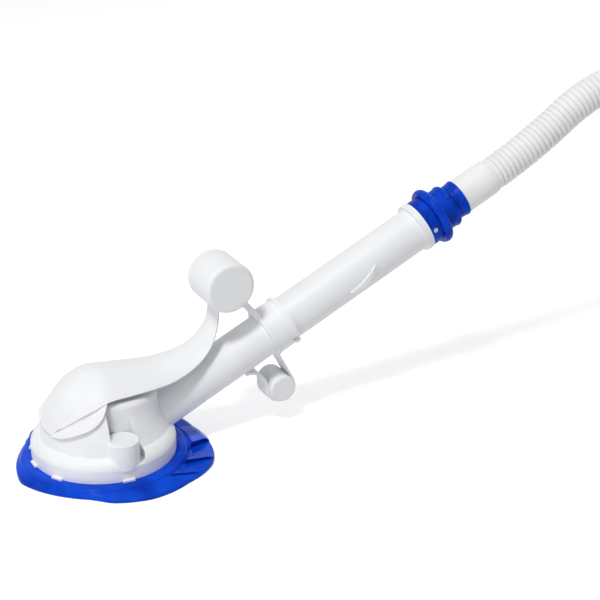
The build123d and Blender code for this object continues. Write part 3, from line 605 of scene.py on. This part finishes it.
@dataclass
class Skirt:
    """Soft vinyl disc: a ring under the drum, a sloping body with folds at the rear and a turned-down edge.

    Attributes:
        offset: How far the edge's centre lies behind the drum's axis, in metres as the other lengths.
        outline: Angle about the edge's centre, in degrees from the rear, and edge radius in millimetres.
        soften: Half degrees to each side that the outline's moving mean takes in.
        spin: How far the loose disc is turned about the drum, in degrees.
        inner: Radius of the hole round the mouth.
        foot: Radius where the ring comes out from under the drum.
        ring: Radius outside the raised ring and its groove.
        margin: Least width of the body between the groove and the edge.
        top: Height of the ring's top.
        hole_drop: How far the hole's edge lies below the ring's top.
        ring_extra: How much thicker the ring is than the sheet.
        step: Radius and drop of the rows over the ring's shoulder into its groove, in millimetres.
        rim: Height of the edge.
        wall: Thickness of the sheet.
        body: First and last row of the body, as shares of the way from the groove to the edge.
        body_rows: Number of those rows.
        body_ends: Height of the first row over the groove and of the last one over the rim.
        body_bend: Power of the body's fall; below 1 it is steeper near the groove.
        nose: Rows round the edge: share of the way to it and share of the last row's height.
        hem: Share of the way at which the edge comes back to the floor.
        underside: Factor on the shares of the rows on the underside.
        floor_gap: Least height of those rows.
        folds: Angle of each fold and its share of the full height, on the near side, in degrees.
        course: Points over a fold: place before and after folding, as shares of the panel behind the fold,
            and height as a share of the fold's own.
        rear_lift: Lift at the middle of the rear, as a share of the full height.
        fine_from: Angle where the close points for the folds start, in degrees.
        lean: How far a fold's line turns from the ring to the edge, in degrees.
        lean_pivot: Share of the way at which a fold's line keeps its angle.
        lean_rear: Angles from the rear over which the lean sets in, in degrees.
        lean_front: Angles over which it sets in from the front, in degrees.
        fold_height: Height of a full fold.
        fold_grip: How much sooner a row overlaps than it rises.
        fold_start: Shares of the way over which the folds rise out of the groove.
        fold_end: Shares of the way over which they sink towards the edge.
        fold_loss: Loss of height up to the edge: all the way along, and over fold_end.
        half_turn: Points on half of the disc.
    """

    offset: float = 13.0 * MM
    outline: tuple[tuple[float, float], ...] = (
        (0.0, 106.4),
        (12.0, 108.0),
        (25.0, 111.8),
        (38.0, 116.4),
        (48.0, 118.6),
        (60.0, 116.8),
        (72.0, 114.0),
        (84.0, 115.9),
        (98.0, 117.6),
        (113.0, 115.2),
        (121.0, 113.6),
        (128.0, 108.8),
        (134.0, 106.8),
        (148.0, 109.2),
        (160.0, 112.8),
        (171.0, 116.8),
        (180.0, 120.2),
    )
    soften: int = 10
    spin: float = 8.0
    inner: float = 70.4 * MM
    foot: float = 84.0 * MM
    ring: float = 98.2 * MM
    margin: float = 2.5 * MM
    top: float = 11.0 * MM
    hole_drop: float = 0.2 * MM
    ring_extra: float = 1.5 * MM
    step: tuple[tuple[float, float], ...] = (
        (84.0, 0.1),
        (92.0, 0.0),
        (94.4, 0.2),
        (95.6, 0.7),
        (96.3, 1.6),
        (96.8, 2.8),
        (97.4, 3.5),
        (98.2, 3.7),
    )
    rim: float = 3.6 * MM
    wall: float = 2.4 * MM
    body: tuple[float, float] = (0.05, 0.93)
    body_rows: int = 26
    body_ends: tuple[float, float] = (0.3 * MM, 0.7 * MM)
    body_bend: float = 0.9
    nose: tuple[tuple[float, float], ...] = (
        (0.96, 0.97),
        (0.985, 0.84),
        (0.998, 0.6),
        (1.0, 0.35),
        (0.998, 0.1),
        (0.99, 0.0),
    )
    hem: float = 0.965
    underside: float = 0.97
    floor_gap: float = 0.4 * MM
    folds: tuple[tuple[float, float], ...] = ((-68.0, 0.3), (-50.0, 0.6), (-29.0, 1.0))
    course: tuple[tuple[float, float, float], ...] = (
        (-0.10, 0.02, 0.0),
        (-0.06, 0.18, 0.02),
        (-0.03, 0.18, 0.45),
        (0.0, 0.015, 0.93),
        (0.02, 0.0, 1.0),
        (0.05, 0.03, 1.04),
        (0.4, 0.4, 0.55),
    )
    rear_lift: float = 0.12
    fine_from: float = -76.0
    lean: float = 9.0
    lean_pivot: float = 0.4
    lean_rear: tuple[float, float] = (0.0, 14.0)
    lean_front: tuple[float, float] = (-110.0, -75.0)
    fold_height: float = 8.0 * MM
    fold_grip: float = 1.4
    fold_start: tuple[float, float] = (0.0, 0.1)
    fold_end: tuple[float, float] = (0.7, 1.0)
    fold_loss: tuple[float, float] = (0.25, 0.5)
    half_turn: int = 420

    def edge(self, angle: np.ndarray) -> np.ndarray:
        """Edge radius: the outline's points joined by lines and softened by a moving mean.

        Args:
            angle: Angles about the edge's centre, in degrees.

        Returns:
            One radius for each angle.
        """
        even = np.arange(-180.0, 180.0, 0.5)
        places, radii = np.array(self.outline).T
        radius = np.interp(np.abs(even), places, radii * MM)
        window = np.hanning(2 * self.soften + 1)
        window /= window.sum()
        closed = np.concatenate([radius[-self.soften :], radius, radius[: self.soften]])
        soft = np.convolve(closed, window, mode="valid")
        return np.interp(angle, even, soft, period=360.0)

    def pleats(self) -> tuple[np.ndarray, np.ndarray, np.ndarray]:
        """Folded course of the sheet round the near half, from the front to the middle of the rear.

        Each fold is a Z: the sheet runs in under the fold's brow, turns up and back to the brow, then falls
        slowly along the panel behind it.

        Returns:
            Plain angles, folded angles and the lift as a share of the fold's height.
        """
        ends = [place for place, _ in self.folds[1:]] + [0.0]
        marks: list[tuple[float, float, float]] = [(-180.0, -180.0, 0.0)]
        for (place, height), end in zip(self.folds, ends):
            panel = end - place
            marks += [(place + a * panel, place + b * panel, c * height) for a, b, c in self.course]
        marks.append((0.0, 0.0, self.rear_lift))
        plain, folded, lift = np.array(marks).T
        even = np.linspace(-180.0, self.fine_from, self.half_turn // 4, endpoint=False)
        fine = np.linspace(self.fine_from, 0.0, self.half_turn - len(even))
        angle = np.concatenate([even, fine])
        return angle, np.interp(angle, plain, folded), np.interp(angle, plain, lift)

    def row(
        self,
        pleats: tuple[np.ndarray, np.ndarray, np.ndarray],
        radius: float,
        share: float,
        height: float,
        fold: float = 0.0,
        squash: float = 1.0,
    ) -> np.ndarray:
        """One closed row of points, mirrored about the disc's own plane of symmetry and turned with the disc.

        Args:
            pleats: Plain angles, folded angles and lifts of the near half.
            radius: Radius about the drum's axis where the share is 0.
            share: Part of the way from that circle to the edge.
            height: Height of the unfolded sheet.
            fold: How much of the folds this row takes.
            squash: Factor on the finished height.

        Returns:
            Array of (x, y, z) rows.
        """
        plain, folded, lift = pleats
        angle = plain + (folded - plain) * min(1.0, fold * self.fold_grip)
        leaning = self.lean * (share - self.lean_pivot) * smoothstep(*self.lean_rear, -angle)
        angle = angle + leaning * smoothstep(*self.lean_front, angle)
        turn = np.radians(angle)
        hub = np.stack([np.cos(turn), np.sin(turn)], axis=1)
        brink = hub * self.edge(angle)[:, None] + np.array([self.offset, 0.0])
        tight = np.maximum(0.0, self.ring + self.margin - np.linalg.norm(brink, axis=1))
        start = hub * (radius - tight * max(0.0, radius - self.foot) / (self.ring - self.foot))[:, None]
        plan = start + (brink - start) * share
        level = (height + lift * fold * self.fold_height) * squash
        near = np.column_stack([plan, level])
        far = near[1:-1][::-1] * np.array([1.0, -1.0, 1.0])
        turned = np.array(Matrix.Rotation(math.radians(self.spin), 3, "Z"))
        return np.concatenate([near, far]) @ turned.T + np.array([HEAD_X, 0.0, 0.0])

    def fold_rise(self, shares: np.ndarray) -> np.ndarray:
        """How much of the folds each row of the body takes.

        Args:
            shares: Parts of the way from the groove to the edge.

        Returns:
            A quick rise out of the groove and a slower loss towards the edge.
        """
        along, late = self.fold_loss
        kept = 1.0 - along * shares - late * smoothstep(*self.fold_end, shares)
        return smoothstep(*self.fold_start, shares) * kept

    def build(self, wardrobe: Wardrobe) -> bpy.types.Object:
        """Closed sheet that stands for the CAD skirt.

        Args:
            wardrobe: Source of the finish.

        Returns:
            The skirt piece.
        """
        row = partial(self.row, self.pleats())
        groove = self.top - self.step[-1][1] * MM
        first, last = self.body_ends
        shares = np.linspace(*self.body, self.body_rows)
        heights = groove + first + (self.rim + last - groove) * shares**self.body_bend
        body = np.column_stack([shares, heights, self.fold_rise(shares)]).tolist()
        _, tip, fold = body[-1]
        under = self.top - self.wall - self.ring_extra
        rows = [row(self.inner, 0.0, under), row(self.inner, 0.0, self.top - self.hole_drop)]
        rows += [row(radius * MM, 0.0, self.top - drop * MM) for radius, drop in self.step]
        rows += [row(self.ring, *place) for place in body]
        rows += [row(self.ring, share, tip, fold * part, part) for share, part in self.nose]
        rows.append(row(self.ring, self.hem, 0.0))
        for share, height, _ in body[::-1]:
            rows.append(row(self.ring, share * self.underside, max(height - self.wall, self.floor_gap)))
        rows.append(row(self.foot, 0.0, under))
        points = np.stack(rows)
        faces = grid_faces(len(rows), points.shape[1], True, True)
        skirt = mesh_object("skirt_sheet", points, faces)
        wardrobe.dress(skirt, BLUE_VINYL)
        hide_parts("skirt_disc")
        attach(skirt, Body.CLEANER.value)
        LOG.info("skirt: %d points", points.size // 3)
        return skirt


@dataclass
class Cover:
    """One sheet from the dome over the head into the arm that carries the float, with a gill at each side.

    Sizes are in millimetres about the drum's axis.

    Attributes:
        profile: Radius and height of the dome, from its foot to its crown.
        brink: X, half width and Z of the dome's lower edge, from the front along the gill to the arm.
        arm: X, crest height, half width, drop at the edge and slope in degrees, along the arm.
        gill: Crease and lip of the near gill, from its front tip to the arm.
        tuck: How far the gill starts below the dome's edge, at its front tip and at its rear end.
        dish: Depth of the gill's hollow.
        roll: Height of the rolled edge on the gill's lip.
        roll_span: Parts of the way to the lip over which that edge rises.
        leaf_wall: Thickness of the gill's ends and what its middle adds, as shares of the wall.
        leaf_belly: Share of that thickness at the gill's border and what its middle adds.
        wall: Thickness of the sheet.
        hinge: X and Z of the line that the dome's sections turn about.
        blend: X where the dome's round starts and ends to give way to the arm's arch.
        reach: Length beyond the dome that the search for its surface starts from.
        halvings: Steps of that search.
        turns: Sections of the dome.
        stretch: Sections of the arm.
        across: Points over a section.
        leaf_grid: Sections of a gill and points over each.
        fine: Points of the smooth profile.
    """

    profile: tuple[tuple[float, float], ...] = (
        (72.2, 32.0),
        (72.0, 37.0),
        (70.7, 50.0),
        (65.8, 65.0),
        (61.2, 75.0),
        (54.8, 86.5),
        (46.3, 96.8),
        (36.0, 105.2),
        (25.0, 110.8),
        (12.0, 114.6),
        (0.0, 115.8),
    )
    brink: tuple[tuple[float, float, float], ...] = (
        (-67.1, 20.6, 52.1),
        (-66.0, 21.2, 55.5),
        (-64.6, 22.8, 58.6),
        (-57.7, 30.8, 65.8),
        (-50.3, 37.0, 72.3),
        (-41.8, 42.0, 78.4),
        (-33.0, 45.7, 83.6),
        (-24.2, 47.9, 87.8),
        (-14.0, 48.6, 91.4),
    )
    arm: tuple[tuple[float, float, float, float, float], ...] = (
        (-14.0, 114.3, 48.6, 22.9, -4.0),
        (3.0, 113.6, 48.0, 18.6, -5.0),
        (20.0, 112.0, 47.0, 16.5, -6.0),
        (48.0, 108.8, 43.5, 13.3, -2.0),
        (70.0, 108.0, 39.0, 11.7, 3.0),
        (93.0, 111.0, 32.5, 9.7, 15.0),
        (112.0, 118.2, 26.0, 8.0, 32.0),
        (125.0, 129.2, 21.0, 6.5, 48.0),
        (133.5, 144.0, 16.2, 4.8, 66.0),
        (137.0, 162.0, 14.6, 4.0, 80.0),
        (137.6, 166.0, 14.4, 4.0, 82.0),
    )
    gill: tuple[tuple[tuple[float, float, float], tuple[float, float, float]], ...] = (
        ((-66.9, -19.6, 54.4), (-68.9, -19.6, 51.9)),
        ((-58.6, -30.0, 64.6), (-62.0, -38.0, 56.8)),
        ((-46.5, -39.6, 75.2), (-47.0, -52.0, 64.0)),
        ((-32.9, -45.7, 83.6), (-31.5, -58.5, 72.0)),
        ((-22.8, -48.1, 88.4), (-20.2, -58.0, 81.8)),
        ((-12.0, -48.6, 92.0), (-11.4, -50.6, 94.6)),
    )
    tuck: tuple[float, float] = (1.0, 4.6)
    dish: float = 3.2
    roll: float = 1.1
    roll_span: tuple[float, float] = (0.72, 0.92)
    leaf_wall: tuple[float, float] = (0.35, 0.5)
    leaf_belly: tuple[float, float] = (0.8, 0.2)
    wall: float = 3.0
    hinge: tuple[float, float] = (-14.0, 52.1)
    blend: tuple[float, float] = (-14.0, 24.0)
    reach: float = 110.0
    halvings: int = 40
    turns: int = 72
    stretch: int = 110
    across: int = 97
    leaf_grid: tuple[int, int] = (64, 25)
    fine: int = 800

    def crown(self, radius: np.ndarray) -> np.ndarray:
        """Height of the dome at a radius, from the smooth curve through the profile.

        Args:
            radius: Distances from the drum's axis.

        Returns:
            One height for each distance.
        """
        radii, heights = np.array(self.profile).T
        fine = np.linspace(0.0, 1.0, self.fine)
        curve = cubic_through(np.linspace(0.0, 1.0, len(radii)), np.column_stack([radii, heights]), fine)
        return np.interp(radius, curve[::-1, 0], curve[::-1, 1])

    def dome(self) -> np.ndarray:
        """Sections of the dome in planes that turn about the hinge line, from level at the front to upright.

        Each point lies on the ray from the hinge line at the section's turn, where it meets the dome. The
        ray's reach is halved in on, because the dome is only known as a height over a radius.

        Returns:
            Array of sections by points by (x, y, z).
        """
        brink = np.array(self.brink)
        turn = np.arctan2(brink[:, 2] - self.hinge[1], self.hinge[0] - brink[:, 0])
        turns = np.linspace(turn[0], turn[-1], self.turns)
        half = cubic_through(turn, brink[:, 1], turns)
        y = half * np.sin(np.linspace(-0.5, 0.5, self.across) * math.pi)[None, :]
        ahead, up = np.cos(turns)[:, None], np.sin(turns)[:, None]
        near, far = np.zeros_like(y), np.full_like(y, self.reach)
        for _ in range(self.halvings):
            reach = (near + far) / 2
            x, z = self.hinge[0] - reach * ahead, self.hinge[1] + reach * up
            inside = z < self.crown(np.hypot(x, y))
            near, far = np.where(inside, reach, near), np.where(inside, far, reach)
        return np.stack([x, y, z], axis=-1)

    def sweep(self) -> np.ndarray:
        """Arched sections of the arm: arcs, square to the arm's slope, that grow out of the dome's round.

        Returns:
            Array of sections by points by (x, y, z).
        """
        stations = np.array(self.arm)
        steps = np.hypot(*np.diff(stations[:, :2], axis=0).T)
        reach = np.concatenate([[0.0], np.cumsum(steps)])
        along = np.linspace(0.0, reach[-1], self.stretch)
        x, z, half, drop, slope = cubic_through(reach, stations, along).T[:, :, None]
        radius = (half**2 + drop**2) / (2 * drop)
        y = half * np.sin(np.linspace(-0.5, 0.5, self.across) * math.pi)[None, :]
        sag = np.sqrt(radius**2 - y**2) - radius
        slope = np.radians(slope)
        x, z = x - sag * np.sin(slope), z + sag * np.cos(slope)
        share = smoothstep(*self.blend, x)
        return np.stack([x, y, self.crown(np.hypot(x, y)) * (1.0 - share) + z * share], axis=-1)

    def leaf(self) -> tuple[np.ndarray, np.ndarray]:
        """Outer and inner face of the near gill: a dished strip between its crease and its proud lip.

        Returns:
            Two arrays of sections by points by (x, y, z).
        """
        stations = np.array(self.gill).reshape(-1, 6)
        sections, over = self.leaf_grid
        share = np.linspace(0.0, 1.0, sections)
        ends = cubic_through(np.linspace(0.0, 1.0, len(stations)), stations, share)
        crease, lip = ends[:, None, :3], ends[:, None, 3:]
        inward = -lip / np.linalg.norm(lip[..., :2], axis=-1, keepdims=True) * np.array([1.0, 1.0, 0.0])
        hollow = np.sin(share * math.pi)[:, None, None]
        tuck = self.tuck[0] + (self.tuck[1] - self.tuck[0]) * share[:, None, None] * hollow**0.5
        t = np.linspace(0.0, 1.0, over)[None, :, None]
        depth = tuck * (1.0 - t) ** 1.3 + self.dish * hollow * np.sin(math.pi * t) ** 1.1
        depth = depth - self.roll * hollow * smoothstep(*self.roll_span, t)
        outer = crease + (lip - crease) * t + inward * depth
        thick = self.wall * (self.leaf_wall[0] + self.leaf_wall[1] * hollow)
        belly = self.leaf_belly[0] + self.leaf_belly[1] * np.sin(math.pi * t)
        return outer, outer + inward * thick * belly

    def build(self, wardrobe: Wardrobe) -> bpy.types.Object:
        """Sheet that stands for the CAD cover: dome, gills and arm.

        Args:
            wardrobe: Source of the finish.

        Returns:
            The cover piece.
        """
        outer = np.concatenate([self.dome(), self.sweep()[1:]])
        normal = np.cross(np.gradient(outer, axis=0), np.gradient(outer, axis=1))
        normal /= np.linalg.norm(normal, axis=-1, keepdims=True)
        near, back = self.leaf()
        across = np.array([1.0, -1.0, 1.0])
        shells = [(outer, outer - normal * self.wall), (near, back), (near * across, back * across)]
        points, faces = join_shells([sheet_shell(*shell) for shell in shells])
        cover = mesh_object("cover_sheet", points * MM + np.array([HEAD_X, 0.0, 0.0]), faces)
        wardrobe.dress(cover, WHITE_PLASTIC)
        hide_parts("head_cover")
        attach(cover, Body.CLEANER.value)
        LOG.info("cover: %d points", len(points))
        return cover


@dataclass(frozen=True)
class Camera:
    """Camera fitted to the photograph.

    Attributes:
        azimuth: Angle about Z of the line of sight, in degrees.
        elevation: Height of the eye above the horizon, in degrees.
        distance: From the eye to the plane through the drum's axis.
        right: Sideways place of the eye.
        up: Upward place of the eye, square to the line of sight.
        focal: Focal length in pixels of the picture.
        picture: Width of the picture in pixels.
        sensor: Width of the camera's sensor in millimetres.
        clip: Nearest and farthest distance that is shown.
    """

    azimuth: float = -27.35
    elevation: float = 23.33
    distance: float = 1.9
    right: float = 0.22551
    up: float = 0.18095
    focal: float = 1646.26
    picture: float = 600.0
    sensor: float = 36.0
    clip: tuple[float, float] = (0.05, 60.0)

    def build(self) -> bpy.types.Object:
        """Place the camera and make it the scene's own.

        Returns:
            The camera object.
        """
        a, e = math.radians(self.azimuth), math.radians(self.elevation)
        back = Vector((math.sin(a) * math.cos(e), -math.cos(a) * math.cos(e), math.sin(e)))
        right = Vector((math.cos(a), math.sin(a), 0.0))
        up = back.cross(right)
        lens = bpy.data.cameras.new("camera")
        lens.sensor_width = self.sensor
        lens.lens = self.focal / self.picture * self.sensor
        lens.clip_start, lens.clip_end = self.clip
        camera = bpy.data.objects.new("camera", lens)
        bpy.context.scene.collection.objects.link(camera)
        turn = Matrix((right, up, back)).transposed().to_4x4()
        eye = back * self.distance + right * self.right + up * self.up + Vector((HEAD_X, 0.0, 0.0))
        camera.matrix_world = Matrix.Translation(eye) @ turn
        bpy.context.scene.camera = camera
        return camera


@dataclass(frozen=True)
class Lamp:
    """Soft square lamp aimed at a point.

    Attributes:
        name: Name of the lamp.
        place: Where it stands.
        size: Side of its square.
        power: Watts.
        colour: Colour of its light.
        target: Point that it faces.
    """

    name: str
    place: tuple[float, float, float]
    size: float
    power: float
    colour: tuple[float, float, float] = (1.0, 1.0, 1.0)
    target: tuple[float, float, float] = (0.1, 0.0, 0.12)

    def build(self) -> bpy.types.Object:
        """Lamp object at its place.

        Returns:
            The linked lamp.
        """
        light = bpy.data.lights.new(self.name, "AREA")
        light.size = self.size
        light.energy = self.power
        light.color = self.colour
        lamp = bpy.data.objects.new(self.name, light)
        bpy.context.scene.collection.objects.link(lamp)
        lamp.location = self.place
        aim = Vector(self.target) - Vector(self.place)
        lamp.rotation_euler = aim.to_track_quat("-Z", "Y").to_euler()
        return lamp


@dataclass
class Studio:
    """White floor, white surroundings and soft lamps.

    Attributes:
        lamps: The lamps.
        ambient: Strength of the light that the surroundings give.
        sky: Colour of the surroundings.
        floor_radius: Radius of the floor's disc.
        floor_sides: Sides of that disc.
        floor_drop: How far the floor lies below Z = 0.
        floor_tone: Grey of the floor.
        floor_rough: Roughness of the floor.
        floor_specular: Strength of the floor's plain reflection.
        floor_lift: Light added to the floor where it is seen directly, so that it reads white.
    """

    lamps: tuple[Lamp, ...] = (
        Lamp("key", (-1.25, -0.9, 2.9), 0.5, 46.0, (1.0, 0.99, 0.97)),
        Lamp("front", (-2.6, -1.4, 1.1), 2.2, 17.0),
        Lamp("top", (0.0, 0.3, 2.6), 2.2, 8.0),
        Lamp("rim", (1.8, 1.6, 1.4), 1.2, 5.0, (0.95, 0.97, 1.0)),
    )
    ambient: float = 0.31
    sky: tuple[float, float, float] = (0.98, 0.99, 1.0)
    floor_radius: float = 14.0
    floor_sides: int = 96
    floor_drop: float = 0.0004
    floor_tone: float = 0.86
    floor_rough: float = 0.9
    floor_specular: float = 0.1
    floor_lift: float = 0.5

    def build(self) -> None:
        """Set the view, the surroundings, the floor and the lamps."""
        bpy.context.scene.view_settings.view_transform = "Standard"
        self._surroundings()
        self._floor()
        for lamp in self.lamps:
            lamp.build()

    def _surroundings(self) -> None:
        """White for rays that see it directly or in a reflection, dimmer for the light that it gives."""
        world = bpy.data.worlds.new("surroundings")
        world.use_nodes = True
        bpy.context.scene.world = world
        nodes, links = world.node_tree.nodes, world.node_tree.links
        seen = self._seen_directly(nodes, links)
        level = nodes.new("ShaderNodeMapRange")
        level.inputs["To Min"].default_value = self.ambient
        level.inputs["To Max"].default_value = 1.0
        links.new(seen, level.inputs["Value"])
        links.new(level.outputs["Result"], nodes["Background"].inputs["Strength"])
        nodes["Background"].inputs["Color"].default_value = (*self.sky, 1.0)

    def _floor(self) -> None:
        """Pale disc that takes the object's shadow and reads white elsewhere."""
        turn = np.linspace(0.0, 2 * math.pi, self.floor_sides, endpoint=False)
        rim = np.column_stack([np.cos(turn), np.sin(turn), np.zeros_like(turn)])
        mesh = bpy.data.meshes.new("floor")
        mesh.from_pydata((rim * self.floor_radius).tolist(), [], [list(range(self.floor_sides))])
        floor = bpy.data.objects.new("floor", mesh)
        bpy.context.scene.collection.objects.link(floor)
        floor.location.z = -self.floor_drop
        material = bpy.data.materials.new("pale floor")
        material.use_nodes = True
        nodes, links = material.node_tree.nodes, material.node_tree.links
        shader = nodes["Principled BSDF"]
        tone = self.floor_tone
        shader.inputs["Base Color"].default_value = (tone, tone, tone, 1.0)
        shader.inputs["Roughness"].default_value = self.floor_rough
        shader.inputs["Specular IOR Level"].default_value = self.floor_specular
        shader.inputs["Emission Color"].default_value = (1.0, 1.0, 1.0, 1.0)
        seen = self._seen_directly(nodes, links)
        lift = nodes.new("ShaderNodeMath")
        lift.operation = "MULTIPLY"
        lift.inputs[1].default_value = self.floor_lift
        links.new(seen, lift.inputs[0])
        links.new(lift.outputs["Value"], shader.inputs["Emission Strength"])
        mesh.materials.append(material)

    @staticmethod
    def _seen_directly(nodes: bpy.types.Nodes, links: bpy.types.NodeLinks) -> bpy.types.NodeSocket:
        """Socket that is 1 for camera, glossy and transmission rays.

        Args:
            nodes: Nodes of the floor or the surroundings.
            links: Their links.

        Returns:
            The output socket.
        """
        path = nodes.new("ShaderNodeLightPath")
        first = nodes.new("ShaderNodeMath")
        first.operation = "MAXIMUM"
        second = nodes.new("ShaderNodeMath")
        second.operation = "MAXIMUM"
        links.new(path.outputs["Is Camera Ray"], first.inputs[0])
        links.new(path.outputs["Is Glossy Ray"], first.inputs[1])
        links.new(first.outputs["Value"], second.inputs[0])
        links.new(path.outputs["Is Transmission Ray"], second.inputs[1])
        return second.outputs["Value"]


def main() -> None:
    """Load the CAD model, build the pieces in order and dress them."""
    logging.basicConfig(level=logging.INFO, format="%(message)s")
    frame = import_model()
    nodes = frame["nodes"]
    wardrobe = Wardrobe()
    wardrobe.dress_nodes(nodes)
    Camera().build()
    Studio().build()
    Hose().build(wardrobe, nodes)
    Skirt().build(wardrobe)
    Cover().build(wardrobe)


if __name__ == "__main__":
    main()
